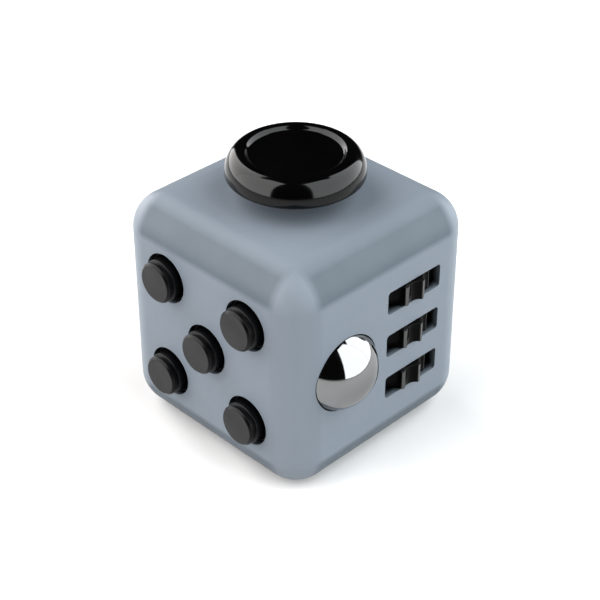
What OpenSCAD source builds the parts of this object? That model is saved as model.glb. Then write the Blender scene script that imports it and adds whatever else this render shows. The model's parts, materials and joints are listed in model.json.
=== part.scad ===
// Fidget cube: a hand-sized desk toy with a different control on each face.
// Units are millimetres and +Z is up. The origin is the centre of the face it stands on.
// Each control is drawn in its face's own frame: x to the right and y up as that face is
// looked at from outside, and z outwards from the outer surface, so depths are negative.
//   click face -Y: five push buttons        roll face +X: three gear wheels and a steel ball
//   flip face  +Y: rocker switch            spin face -X: turning dial with a nub
//   glide face +Z: sliding joystick         base face -Z: smooth thumb dimple

/* [Body] */
// Side of the cube
side = 33; // [32.8:0.1:34]
// Radius of every outer edge and corner
edge_r = 5; // [4.6:0.1:5.2]
// Wall thickness of the shell
wall = 2; // [1.9:0.05:2.1]
// Half width of the square opening that the base cover closes
base_opening = 11; // [10.8:0.1:11.2]
// Radius of the thumb dimple where it meets the base
dimple_r = 8.5; // [7:0.1:9]
// Depth of the thumb dimple
dimple_depth = 1.6; // [1:0.1:1.8]

/* [Click face] */
// Radius of each button hole in the shell
button_hole_r = 3.5; // [3.4:0.05:3.6]
// Radius of the visible button cap
button_r = 2.9; // [2.7:0.05:2.95]
// How far a button stands proud at rest
button_proud = 1.9; // [1.6:0.1:2.2]
// Travel of a button when pressed
button_travel = 1; // [0.6:0.1:1.1]
// Distance from the middle button to the others, along x and along y
button_pitch = 7.45; // [7.4:0.05:7.6]

/* [Roll face] */
// Radius of the steel ball
ball_r = 5.75; // [5.6:0.05:5.8]
// Depth of the ball's centre below the face
ball_depth = 2.3; // [2.2:0.05:2.5]
// How far the ball can be pressed in
ball_travel = 0.8; // [0.4:0.1:0.8]
// Outer radius of the gear wheels
gear_r = 4.5; // [4.3:0.05:4.55]
// Thickness of a gear wheel
gear_t = 2.85; // [2.6:0.05:2.9]
// Distance between gear wheels
gear_pitch = 6.7; // [6.6:0.05:6.75]
// Number of teeth on a gear wheel
gear_teeth = 10; // [8:1:12]

/* [Glide face] */
// Outer radius of the joystick cap
cap_r = 9.15; // [8:0.05:9.5]
// Height of the joystick cap's underside above the face
cap_lift = 2.45; // [2:0.05:3]
// Thickness of the joystick cap at its rim
cap_t = 3.85; // [3.4:0.05:4.2]
// Travel of the joystick each way along x and along y
glide_travel = 1.2; // [0.8:0.1:1.2]

/* [Flip face] */
// Half angle of the rocker's shallow valley, so it flips through twice this
rocker_tilt = 10; // [8:0.5:10]
// Length of each half of the rocker's face
rocker_half = 6.9; // [6.5:0.1:6.9]
// Half width of the rocker
rocker_half_w = 3.7; // [3.4:0.1:3.7]

/* [Spin face] */
// Radius of the dial
dial_r = 9.5; // [9:0.1:9.6]
// How far the dial stands proud
dial_proud = 1.3; // [1:0.1:1.6]
// Height of the nub above the dial
nub_h = 1.7; // [1.4:0.1:1.9]

/* [Hidden] */

$fn = 64;
half = side / 2;
fit = 0.05;             // radial clearance of a pin or shaft in its bore
gap = 0.1;              // clearance between pieces fixed beside each other
inner = -wall;          // the shell's inner surface, in any face's frame
cavity_step = 1.3;      // height of the step that keeps the wall thick behind the edges

// Screws: all are the same small self-tapping size
screw_r = 0.7;
screw_head_r = 1.3;
screw_head_h = 0.8;
boss_r = 1.6;
ear_r = 1.9;
ear_t = 1.2;
pilot_r = screw_r + 0.02;

// Click face levels, outwards from the face
button_centre_at = [0.25, 0.1];
guide_back = inner - 1;
flange_r = 3.4;
flange_back = guide_back - 0.7;
sheet_top = flange_back - button_travel - 0.6;
sheet_t = 0.4;
plate_front = sheet_top - sheet_t;
plate_back = plate_front - 1;
dome_r = 1.75;
dome_h = 0.33;
dome_lift = 0.12;       // height of a dome's edge above the plate, which its feet bridge
click_screws_at = [[0.25, 6.8], [0.25, -6.6], [-9.2, 0.1]];
collar_front = -0.7;
keypad_left = -10.2;
keypad_right = 10.4;
keypad_low = -10.2;
keypad_high = 10.0;

// Roll face
ball_at = [-7.3, 0.1];
gears_at = [5.05, 0.2];
axle_depth = 3.55;
axle_r = 0.9;
flute_r = 1.5;
flute_at = gear_r + 0.8;
gear_phase = 10.75;
window_w = 9.9;
window_h = 3.4;
seat_gap = 0.12;
cup_r = 5.2;
cup_front = -5.7;
cup_back = -9.5;
cup_stem_r = 1.4;
cup_stem_end = -14.9;
spring_plate_front = cup_back - ball_travel - 1.6;
spring_plate_back = spring_plate_front - 1.2;
spring_r = 2.1;
spring_wire = 0.35;
bracket_ear_front = inner - 2;
bracket_ear_back = bracket_ear_front - ear_t;
roll_screws_at = [[-2, 7.5], [-2, -7.3], [11.8, 7.5], [11.8, -7.3]];
arm_gap = 0.22;
arm_t = 1;
web_front = -8.9;
web_back = -10.1;

// Glide face
glide_hole_r = 4;
stem_r = 2.2;
slide_disc_r = 6.5;
slide_disc_top = inner - 0.25;
slide_disc_bottom = slide_disc_top - 0.7;
block_half = 2.1;
cross_top = slide_disc_bottom - 0.15;
cross_bottom = cross_top - 1;
cross_half = [6.9, 8];
web_top = cross_bottom - 0.15;
web_bottom = web_top - 0.8;
web_r = 7;
pin_r = 1.5;
housing_half = 9.3;
housing_floor_top = web_bottom - 0.1;
housing_bottom = housing_floor_top - 0.8;
ear_at = 10.2;
cap_section = 2.15;      // half width of the cap's rounded rim section
cap_widest = 0.8;        // height of the rim's widest level above the cap's underside
cap_power = 2.1;         // squareness of the rim section: 2 is an ellipse
dish_rim_r = 6.65;
dish_floor_r = 6;
dish_depth = 0.5;
underside_r = 3.4;
rim_steps = 16;

// Flip face
pivot_depth = 3.9;
rocker_face = pivot_depth + 0.2;      // distance of a flush half face from the pivot
rocker_end_h = 3.2;
hub_r = 1.9;
nose_end = 2.4;          // how far the rocker's nose reaches behind its pivot
nose_half = 0.35;
rocker_pin_r = 0.8;
rocker_opening = [4, 7.95];
rocker_opening_corner = 0.5;
frame_inner = [4.1, 8.1];
frame_outer = [5.4, 8.6];
frame_floor_top = -7.2;
frame_back = -8.2;
frame_ear_at = 10.2;
frame_ear_front = inner - 2;
leaf_t = 0.2;

// Spin face
recess_r = dial_r + 0.3;
recess_depth = 0.8;
shaft_r = 2;
bush_r = 3.6;
bush_back = inner - 1.4;
shaft_end = bush_back - 0.5;
retainer_r = 3.3;
retainer_back = shaft_end - 0.6;
nub_at = 5.7;
nub_r = 1.6;

// ---------- frames of the six faces ----------

module on_click_face() { translate([0, -half, half]) rotate([90, 0, 0]) children(); }
module on_roll_face() { translate([half, 0, half]) rotate([90, 0, 90]) children(); }
module on_flip_face() { translate([0, half, half]) rotate([90, 0, 180]) children(); }
module on_spin_face() { translate([-half, 0, half]) rotate([90, 0, -90]) children(); }
module on_glide_face() { translate([0, 0, side]) children(); }

// ---------- shared shapes ----------

// Solid disc between two levels
module disc(r, top, bottom) {
    translate([0, 0, bottom]) cylinder(r = r, h = top - bottom);
}

// Flat ring between two levels
module ring(r_out, r_in, top, bottom) {
    difference() {
        disc(r_out, top, bottom);
        disc(r_in, top + 1, bottom - 1);
    }
}

// Rectangle with rounded corners, centred
module rounded_rect(w, h, r) {
    square([w - 2 * r, h], center = true);
    square([w, h - 2 * r], center = true);
    for (sx = [-1, 1], sy = [-1, 1]) {
        translate([sx * (w / 2 - r), sy * (h / 2 - r)]) circle(r = r);
    }
}

// Rounded rectangular plate between two levels
module plate(w, h, r, top, bottom) {
    translate([0, 0, bottom]) linear_extrude(height = top - bottom) rounded_rect(w, h, r);
}

// Cube standing on z = 0 with every edge and corner rounded: boxes, quarter rods and ball octants
module soft_cube(w, r) {
    flat = w - 2 * r;
    translate([0, 0, w / 2]) {
        cube([w, flat, flat], center = true);
        cube([flat, w, flat], center = true);
        cube([flat, flat, w], center = true);
        for (a = [0:90:270], turn = [[0, 0, 0], [90, 0, 0], [0, 90, 0]]) {
            rotate(turn) rotate(a) translate([flat / 2, flat / 2, 0]) intersection() {
                cylinder(r = r, h = flat, center = true);
                translate([0, 0, -flat / 2]) cube([r, r, flat]);
            }
        }
        for (a = [0:90:270], flip = [0, 180]) {
            rotate([flip, 0, 0]) rotate(a) translate([flat / 2, flat / 2, flat / 2]) intersection() {
                sphere(r = r);
                cube(r);
            }
        }
    }
}

// Pan head screw whose head sits below z = 0 and whose shank points outwards
module screw(length) {
    difference() {
        disc(screw_head_r, 0, -screw_head_h);
        for (a = [0, 90]) {
            rotate(a) translate([0, 0, -screw_head_h]) cube([1.6, 0.4, 0.7], center = true);
        }
    }
    disc(screw_r, length, 0);
}

// Helical wire spring along z: rings of points joined into one tube
module coil_spring(r, wire, low, high, turns) {
    sides = 6;
    steps = turns * 14;
    wire_r = wire / 2;
    rise = high - low - wire;
    rings = [for (i = [0:steps]) let (a = 360 * turns * i / steps)
        [for (k = [0:sides - 1]) let (b = 360 * k / sides)
            [(r + wire_r * cos(b)) * cos(a), (r + wire_r * cos(b)) * sin(a),
                low + wire_r + rise * i / steps + wire_r * sin(b)]]];
    points = [for (one = rings) for (p = one) p];
    side_faces = [for (i = [0:steps - 1]) for (k = [0:sides - 1])
        let (n = (k + 1) % sides)
        [i * sides + k, i * sides + n, (i + 1) * sides + n, (i + 1) * sides + k]];
    start_face = [for (k = [sides - 1:-1:0]) k];
    end_face = [for (k = [0:sides - 1]) steps * sides + k];
    polyhedron(points = points, faces = concat([start_face], side_faces, [end_face]), convexity = 4);
}

// Places of the five buttons: top left, top right, middle, bottom left, bottom right
function button_place(i) = button_centre_at + button_pitch * [[-1, 1], [1, 1], [0, 0], [-1, -1], [1, -1]][i];

// Height of gear wheel k above the base: 1 is the top one, 0 the middle one and -1 the bottom one
function gear_z(k) = half + gears_at[1] + k * gear_pitch;

// ---------- shell and base ----------

module shell_bosses() {
    on_click_face() for (p = click_screws_at) translate(p) disc(boss_r, inner + 0.5, plate_front);
    on_roll_face() for (p = roll_screws_at) translate(p) disc(boss_r, inner + 0.5, bracket_ear_front);
    on_flip_face() for (s = [-1, 1]) {
        translate([0, s * frame_ear_at]) disc(boss_r, inner + 0.5, frame_ear_front);
    }
    on_glide_face() for (a = [-1, 1], b = [-1, 1]) {
        translate([a * ear_at, b * ear_at]) disc(boss_r, inner + 0.5, housing_bottom + ear_t);
    }
    on_spin_face() disc(bush_r, inner + 0.5, bush_back);
}

module shell_pilots() {
    on_click_face() for (p = click_screws_at) translate(p) disc(pilot_r, plate_front + 4.2, plate_front - 1);
    on_roll_face() for (p = roll_screws_at) {
        translate(p) disc(pilot_r, bracket_ear_front + 2.9, bracket_ear_front - 1);
    }
    on_flip_face() for (s = [-1, 1]) {
        translate([0, s * frame_ear_at]) disc(pilot_r, frame_ear_front + 2.9, frame_ear_front - 1);
    }
    on_glide_face() for (a = [-1, 1], b = [-1, 1]) {
        translate([a * ear_at, b * ear_at]) disc(pilot_r, housing_bottom + ear_t + 3.6, housing_bottom);
    }
}

module shell_cuts() {
    on_click_face() for (i = [0:4]) translate(button_place(i)) disc(button_hole_r, 1, inner - 0.5);
    on_roll_face() {
        for (k = [-1:1]) translate([gears_at[0], gears_at[1] + k * gear_pitch]) {
            plate(window_w, window_h, 0.5, 1, inner - 0.5);
        }
        translate([ball_at[0], ball_at[1], -ball_depth]) sphere(r = ball_r + seat_gap);
    }
    on_glide_face() disc(glide_hole_r, 1, inner - 0.5);
    on_flip_face() plate(2 * rocker_opening[0], 2 * rocker_opening[1], rocker_opening_corner, 1, inner - 0.5);
    on_spin_face() {
        disc(recess_r, 1, -recess_depth);
        disc(shaft_r + fit, 1, bush_back - 1);
    }
    plate(2 * base_opening, 2 * base_opening, 2, wall + 0.5, -1);
}

// Stepped hollow that keeps the wall thick enough behind the rounded edges
module shell_cavity() {
    w = side - 2 * wall;
    plate(w, w, edge_r - wall, side - wall - cavity_step, wall + cavity_step);
    plate(w - 2 * cavity_step, w - 2 * cavity_step, edge_r - wall, side - wall, wall);
}

module shell() {
    color("slategray") difference() {
        union() {
            difference() {
                soft_cube(side, edge_r);
                shell_cavity();
            }
            shell_bosses();
        }
        shell_cuts();
        shell_pilots();
    }
}

module base_cover() {
    sphere_r = (dimple_r * dimple_r + dimple_depth * dimple_depth) / (2 * dimple_depth);
    cover_half = base_opening - gap;
    hook_half = 2.5;
    color("slategray") {
        difference() {
            union() {
                plate(2 * cover_half, 2 * cover_half, 2 - gap, wall, 0);
                disc(dimple_r + 0.9, wall + 1.4, wall - 0.1);
            }
            translate([0, 0, dimple_depth - sphere_r]) sphere(r = sphere_r, $fn = 128);
        }
        // Four snap hooks that catch on the inside of the shell's floor
        for (a = [0:90:270]) rotate(a) {
            translate([cover_half - 0.9, -hook_half, wall - 0.5]) cube([0.9, 2 * hook_half, 2]);
            translate([cover_half - 0.5, -hook_half, wall + gap]) cube([0.9, 2 * hook_half, 0.8]);
        }
    }
}

// ---------- click face ----------

// Button: two-tier cap with a bevelled front, and a flange that the guide plate keeps in
module button(i) {
    top = button_proud;
    color("dimgray") on_click_face() translate(button_place(i)) rotate_extrude() polygon([
        [0, top], [button_r - 0.42, top], [button_r - 0.12, top - 0.3], [button_r - 0.12, top - 0.62],
        [button_r - 0.32, top - 0.72], [button_r - 0.32, top - 0.92], [button_r - 0.06, top - 1.02],
        [button_r, top - 1.12], [button_r, guide_back - 0.02], [flange_r, guide_back - 0.02],
        [flange_r, flange_back], [0, flange_back]]);
}

module keypad_outline() {
    w = keypad_right - keypad_left;
    h = keypad_high - keypad_low;
    translate([(keypad_left + keypad_right) / 2, (keypad_low + keypad_high) / 2]) rounded_rect(w, h, 3);
}

// Room for the ball cup, which reaches in between the two right-hand buttons
module cup_notch() {
    translate([5.8, ball_at[1] - 4.95]) square([8, 9.9]);
}

module button_guide() {
    color("black") on_click_face() {
        difference() {
            union() {
                translate([0, 0, guide_back]) linear_extrude(height = inner - guide_back) keypad_outline();
                for (i = [0:4]) {
                    translate(button_place(i)) disc(button_hole_r - gap, collar_front, inner - 0.2);
                }
            }
            for (i = [0:4]) translate(button_place(i)) disc(button_r + 0.15, 1, guide_back - 1);
            for (p = click_screws_at) translate(p) disc(boss_r + gap, 1, guide_back - 1);
        }
    }
}

// Silicone sheet with a hollow plunger behind each button
module keypad_membrane() {
    color("lightgray") on_click_face() {
        translate([0, 0, plate_front]) linear_extrude(height = sheet_t) difference() {
            keypad_outline();
            cup_notch();
            for (i = [0:4]) translate(button_place(i)) circle(r = 2);
            for (p = click_screws_at) translate(p) circle(r = boss_r + gap);
        }
        for (i = [0:4]) translate(button_place(i)) rotate_extrude() polygon([
            [2, plate_front], [2.2, plate_front], [2.2, sheet_top], [1.6, flange_back - fit],
            [0, flange_back - fit], [0, sheet_top + 0.1], [0.7, sheet_top + 0.1], [0.7, flange_back - 0.5],
            [1.3, flange_back - 0.5], [1.95, sheet_top - 0.2], [1.95, plate_front]]);
    }
}

// Point of a snap dome's surface at radius r, lowered by drop
function dome_point(r, drop) = [r, plate_front + dome_lift + dome_h * cos(90 * r / dome_r) - drop];

// Five snap domes of spring steel that give each button its click
module click_domes() {
    outside = [for (i = [0:5]) dome_point(dome_r * i / 5, 0)];
    inside = [for (i = [5:-1:0]) dome_point((dome_r - 0.2) * i / 5, 0.1)];
    foot = [[dome_r, plate_front + 0.02], [dome_r - 0.15, plate_front + 0.02]];
    color("silver") on_click_face() for (i = [0:4]) translate(button_place(i)) {
        rotate_extrude() polygon(concat(outside, foot, inside));
    }
}

module keypad_plate() {
    color("darkgreen") on_click_face() {
        translate([0, 0, plate_back]) linear_extrude(height = plate_front - plate_back) difference() {
            keypad_outline();
            cup_notch();
            for (p = click_screws_at) translate(p) circle(r = screw_r + gap);
        }
    }
}

module keypad_screws() {
    color("silver") on_click_face() for (p = click_screws_at) translate([p[0], p[1], plate_back]) screw(5);
}

// ---------- roll face ----------

module steel_ball() {
    color("silver") on_roll_face() translate([ball_at[0], ball_at[1], -ball_depth])
        sphere(r = ball_r, $fn = 96);
}

// Sliding cup that carries the ball, with a stem that runs in the bracket
module ball_cup() {
    color("black") on_roll_face() translate([ball_at[0], ball_at[1], 0]) {
        difference() {
            disc(cup_r, cup_front, cup_back);
            translate([0, 0, -ball_depth]) sphere(r = ball_r + fit, $fn = 96);
        }
        disc(cup_stem_r, cup_back + 0.1, cup_stem_end);
    }
}

module ball_spring() {
    color("silver") on_roll_face() translate([ball_at[0], ball_at[1], 0]) {
        coil_spring(spring_r, spring_wire, spring_plate_front + 0.02, cup_back - 0.02, 3);
    }
}

// Moulded bracket: a web behind the gear wheels, two arms for their axle,
// a plate that backs the ball spring, and four ears screwed to the shell
module roll_bracket() {
    arm_low = -gear_pitch - gear_t / 2 - arm_gap - arm_t;
    arm_high = gear_pitch + gear_t / 2 + arm_gap;
    web_x = [0.9, 9.4];
    plate_x = [-9.4, 2.1];
    centre = gears_at[1];
    tall = arm_high - arm_low + arm_t;
    arm_reach = 7.8;
    link_t = 1.2;
    tube_r = 2.3;
    color("black") on_roll_face() difference() {
        union() {
            translate([web_x[0], centre + arm_low, web_back])
                cube([web_x[1] - web_x[0], tall, web_front - web_back]);
            for (y = [arm_low, arm_high]) {
                translate([web_x[0], centre + y, web_back]) cube([web_x[1] - web_x[0], arm_t, arm_reach]);
            }
            translate([plate_x[0], centre + arm_low, spring_plate_back])
                cube([plate_x[1] - plate_x[0], tall, spring_plate_front - spring_plate_back]);
            translate([web_x[0], centre + arm_low, spring_plate_back])
                cube([link_t, tall, web_front - spring_plate_back]);
            translate([ball_at[0], ball_at[1], 0]) disc(tube_r, spring_plate_back + 0.1, spring_plate_back - 1.2);
            for (p = roll_screws_at) {
                translate(p) disc(ear_r, bracket_ear_front, bracket_ear_back);
                bridge_x = min(p[0], web_x[0]);
                bridge_w = max(p[0], web_x[0]) - bridge_x + 0.5;
                bridge_y = p[1] > 0 ? centre + arm_high : centre + arm_low;
                translate([bridge_x, bridge_y, bracket_ear_back])
                    cube([bridge_w, arm_t, bracket_ear_front - bracket_ear_back]);
            }
        }
        translate([ball_at[0], ball_at[1], 0]) disc(cup_stem_r + fit, 0, spring_plate_back - 5);
        for (p = roll_screws_at) translate(p) disc(screw_r + gap, 0, bracket_ear_back - 1);
        translate([gears_at[0], 0, -axle_depth]) rotate([90, 0, 0])
            cylinder(r = axle_r, h = side, center = true);
    }
}

module gear_axle() {
    reach = gear_pitch + gear_t / 2 + arm_gap + arm_t;
    color("silver") translate([half - axle_depth, gears_at[0], gear_z(0) - reach])
        cylinder(r = axle_r - 0.01, h = 2 * reach);
}

// Gear wheel: wide shallow flutes between narrow teeth
module gear(k) {
    pitch_a = 360 / gear_teeth;
    color("black") translate([half - axle_depth, gears_at[0], gear_z(k)])
        linear_extrude(height = gear_t, center = true) difference() {
            circle(r = gear_r);
            circle(r = axle_r + fit);
            for (i = [0:gear_teeth - 1]) {
                rotate(gear_phase + pitch_a * (i + 0.5)) translate([flute_at, 0]) circle(r = flute_r);
            }
        }
}

module gear_spacers() {
    h = gear_pitch - gear_t - 0.2;
    color("silver") for (k = [-0.5, 0.5]) {
        translate([half - axle_depth, gears_at[0], gear_z(k) - h / 2]) difference() {
            cylinder(r = axle_r + 0.45, h = h);
            translate([0, 0, -1]) cylinder(r = axle_r + 0.02, h = h + 2);
        }
    }
}

// Spring steel comb on the web, with one finger resting in a flute of each wheel
module gear_detent_spring() {
    t = 0.15;
    finger_h = 1.6;
    root = half - axle_depth - gear_r;
    web_face = half + web_front;
    color("silver") {
        translate([web_face + 0.02, 7.6, gear_z(-1) - 1.5]) cube([t, 1.6, 2 * gear_pitch + 3]);
        for (k = [-1:1]) translate([0, 0, gear_z(k) - finger_h / 2]) linear_extrude(height = finger_h)
            polygon([
                [web_face + 0.02, 7.8], [web_face + 0.02, 7], [root - 0.35, 5.6], [root - 0.25, 4.6],
                [root - 0.1, 4.6], [root - 0.2, 5.6], [web_face + 0.17, 7.1], [web_face + 0.17, 7.8]]);
    }
}

module roll_screws() {
    color("silver") on_roll_face() for (p = roll_screws_at) {
        translate([p[0], p[1], bracket_ear_back]) screw(3.9);
    }
}

// ---------- glide face ----------

// Point of the cap's rounded rim at angle a: 0 is outermost and 90 is on top
function rim_point(a) =
    let (tall = a > 0 ? cap_t - cap_widest : cap_widest)
    [cap_r - cap_section + cap_section * pow(abs(cos(a)), 2 / cap_power),
        cap_lift + cap_widest + tall * sign(sin(a)) * pow(abs(sin(a)), 2 / cap_power)];

// Point of the dish's wall, t running from its rim (0) to the dish floor (1)
function dish_point(t) = [
    dish_rim_r + (dish_floor_r - dish_rim_r) * t,
    cap_lift + cap_t - dish_depth * (1 - cos(180 * t)) / 2];

module joystick_cap() {
    top = cap_lift + cap_t;
    rim = [for (i = [0:rim_steps]) rim_point(-90 + 180 * i / rim_steps)];
    dish = [for (i = [0:6]) dish_point(i / 6)];
    color("black") on_glide_face() difference() {
        rotate_extrude($fn = 96) polygon(concat(
            [[0, cap_lift - 0.1], [underside_r, cap_lift - 0.1], [underside_r + 0.6, cap_lift]],
            rim, dish, [[0, top - dish_depth - 0.08]]));
        disc(stem_r - 0.4, top - 2, -1);
    }
}

// Stem with the sliding disc that covers the hole from inside
module joystick_stem() {
    color("black") on_glide_face() {
        disc(stem_r - 0.42, cap_lift + 1.7, cap_lift - 0.2);
        disc(stem_r, cap_lift - 0.12, slide_disc_top - 0.1);
        disc(slide_disc_r, slide_disc_top, slide_disc_bottom);
        plate(2 * block_half, 2 * block_half, 0.3, slide_disc_bottom + 0.1, web_top);
        disc(pin_r, web_top + 0.1, web_bottom);
    }
}

// Plate that slides along X in the housing, with a slot in which the stem slides along Y
module cross_slide() {
    slot = block_half + glide_travel + 0.15;
    color("whitesmoke") on_glide_face() difference() {
        plate(2 * cross_half[0], 2 * cross_half[1], 1, cross_top, cross_bottom);
        plate(2 * (block_half + gap), 2 * slot, 0.3, cross_top + 1, cross_bottom - 1);
    }
}

// Silicone spider that pulls the stem back to the middle
module centring_web() {
    color("lightgray") on_glide_face() {
        ring(web_r - 0.1, web_r - 1, web_top, web_bottom);
        ring(pin_r + 0.9, pin_r + 0.05, web_top, web_bottom);
        for (a = [45:90:315]) rotate(a) {
            translate([pin_r + 0.7, -0.35, web_bottom])
                cube([web_r - pin_r - 1.5, 0.7, web_top - web_bottom]);
        }
    }
}

module glide_housing() {
    inner_half = [cross_half[0] + glide_travel + 0.3, cross_half[1] + gap];
    color("black") on_glide_face() difference() {
        union() {
            plate(2 * housing_half, 2 * housing_half, 1.5, inner, housing_bottom);
            for (a = [-1, 1], b = [-1, 1]) {
                translate([a * ear_at, b * ear_at]) disc(ear_r, housing_bottom + ear_t, housing_bottom);
            }
        }
        plate(2 * inner_half[0], 2 * inner_half[1], 1, inner + 1, cross_bottom - 0.02);
        disc(web_r, inner, housing_floor_top);
        for (a = [-1, 1], b = [-1, 1]) translate([a * ear_at, b * ear_at]) {
            disc(boss_r + gap, inner + 1, housing_bottom + ear_t);
            disc(screw_r + gap, 1, housing_bottom - 1);
        }
    }
}

module glide_screws() {
    color("silver") on_glide_face() for (a = [-1, 1], b = [-1, 1]) {
        translate([a * ear_at, b * ear_at, housing_bottom]) screw(4.5);
    }
}

// ---------- flip face ----------

// Bar along the rocker's pin with the 2D children as its section
module across(half_w) {
    translate([0, 0, -half_w]) linear_extrude(height = 2 * half_w) children();
}

// Section of the paddle about its pivot, standing level: x along its length, y outwards
module paddle_section() {
    valley = rocker_face / cos(rocker_tilt);
    tip = [rocker_half * cos(rocker_tilt), valley + rocker_half * sin(rocker_tilt)];
    heel = tip - rocker_end_h * [-sin(rocker_tilt), cos(rocker_tilt)];
    polygon([
        [0, valley], tip, heel, [hub_r + 1.5, 0.9], [hub_r, -0.4], [-hub_r, -0.4],
        [-hub_r - 1.5, 0.9], [-heel[0], heel[1]], [-tip[0], tip[1]]]);
}

// The rocker rests flipped up: its lower half stands proud and its upper half is flush.
// A narrower hub holds the pin and a still narrower nose rides on the leaf spring.
module rocker() {
    nose_top = -1.3;
    color("black") on_flip_face() translate([0, 0, -pivot_depth]) rotate([-rocker_tilt, 0, 0]) rotate([90, 0, 90])
        difference() {
            union() {
                across(rocker_half_w) paddle_section();
                across(rocker_half_w - 0.2) circle(r = hub_r);
                across(rocker_half_w - 1.4) polygon([
                    [2 * nose_half, nose_top], [nose_half, -nose_end],
                    [-nose_half, -nose_end], [-2 * nose_half, nose_top]]);
            }
            across(rocker_half_w + 1) circle(r = rocker_pin_r + fit);
        }
}

module rocker_pin() {
    reach = frame_outer[0] - 0.1;
    color("silver") on_flip_face() translate([-reach, 0, -pivot_depth]) rotate([0, 90, 0])
        cylinder(r = rocker_pin_r, h = 2 * reach);
}

module rocker_frame() {
    color("black") on_flip_face() difference() {
        union() {
            plate(2 * frame_outer[0], 2 * frame_outer[1], 1, inner, frame_back);
            for (s = [-1, 1]) {
                translate([0, s * frame_ear_at]) disc(ear_r, frame_ear_front, frame_ear_front - ear_t);
                translate([-ear_r, s * (frame_outer[1] + 0.5) - 1.1, frame_ear_front - ear_t])
                    cube([2 * ear_r, 2.2, ear_t]);
            }
        }
        plate(2 * frame_inner[0], 2 * frame_inner[1], 0.6, inner + 1, frame_floor_top);
        for (s = [-1, 1]) translate([0, s * frame_ear_at]) {
            disc(screw_r + gap, 0, frame_back - 1);
            disc(boss_r + gap, 1, frame_ear_front);
        }
        translate([0, 0, -pivot_depth]) rotate([0, 90, 0])
            cylinder(r = rocker_pin_r + 0.02, h = 4 * frame_outer[0], center = true);
    }
}

// Leaf spring with a ridge that the rocker's nose snaps across
module rocker_spring() {
    ridge = pivot_depth + nose_end + 0.06;
    low = -frame_floor_top - 0.02;
    leaf_w = 4;
    color("silver") on_flip_face() translate([-leaf_w / 2, 0, 0]) rotate([90, 0, 90])
        linear_extrude(height = leaf_w) polygon([
            [0, -ridge], [2.4, leaf_t - low], [6, leaf_t - low], [6, -low], [2.3, -low],
            [0, -ridge - leaf_t], [-2.3, -low], [-6, -low], [-6, leaf_t - low], [-2.4, leaf_t - low]]);
}

module rocker_screws() {
    color("silver") on_flip_face() for (s = [-1, 1]) {
        translate([0, s * frame_ear_at, frame_ear_front - ear_t]) screw(3.9);
    }
}

// ---------- spin face ----------

module dial() {
    color("black") on_spin_face() difference() {
        union() {
            rotate_extrude($fn = 96) polygon([
                [0, dial_proud - 0.15], [dial_r - 1.8, dial_proud - 0.15], [dial_r - 1.4, dial_proud],
                [dial_r - 0.5, dial_proud], [dial_r - 0.15, dial_proud - 0.15], [dial_r, dial_proud - 0.5],
                [dial_r, 0.2 - recess_depth], [0, 0.2 - recess_depth]]);
            disc(shaft_r, 0, shaft_end);
            translate([nub_at, 0, 0]) rotate_extrude() polygon([
                [0, 0], [nub_r, 0], [nub_r, dial_proud + nub_h - 0.5],
                [nub_r - 0.15, dial_proud + nub_h - 0.15], [nub_r - 0.5, dial_proud + nub_h],
                [0, dial_proud + nub_h]]);
        }
        disc(pilot_r, shaft_end + 3.2, shaft_end - 1);
    }
}

// Dished spring washer that gives the dial its drag
module dial_spring_washer() {
    low = shaft_end + fit;
    high = bush_back - fit;
    color("silver") on_spin_face() rotate_extrude() polygon([
        [shaft_r + 0.15, low + 0.15], [shaft_r + 0.15, low], [retainer_r, high - 0.15], [retainer_r, high]]);
}

module dial_retainer() {
    color("silver") on_spin_face() ring(retainer_r, screw_r + 0.1, shaft_end, retainer_back);
}

module dial_screw() {
    color("silver") on_spin_face() translate([0, 0, retainer_back]) screw(3);
}

// ---------- nodes ----------

shell();
base_cover();
button(0);  // button_top_left
button(1);  // button_top_right
button(2);  // button_centre
button(3);  // button_bottom_left
button(4);  // button_bottom_right
button_guide();
keypad_membrane();
click_domes();
keypad_plate();
keypad_screws();
steel_ball();
ball_cup();
ball_spring();
roll_bracket();
gear_axle();
gear(1);  // gear_top
gear(0);  // gear_middle
gear(-1);  // gear_bottom
gear_spacers();
gear_detent_spring();
roll_screws();
joystick_cap();
joystick_stem();
cross_slide();
centring_web();
glide_housing();
glide_screws();
rocker();
rocker_pin();
rocker_frame();
rocker_spring();
rocker_screws();
dial();
dial_spring_washer();
dial_retainer();
dial_screw();
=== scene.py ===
"""Fidget cube: visible meshes, materials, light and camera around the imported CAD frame.

Pieces are drawn in millimetres in their own face's frame (x right and y up as the face is looked
at from outside, z outwards) and then placed in the object's frame, in metres.
"""
import json
import math

import bmesh
import bpy
from mathutils import Matrix, Vector


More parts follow.
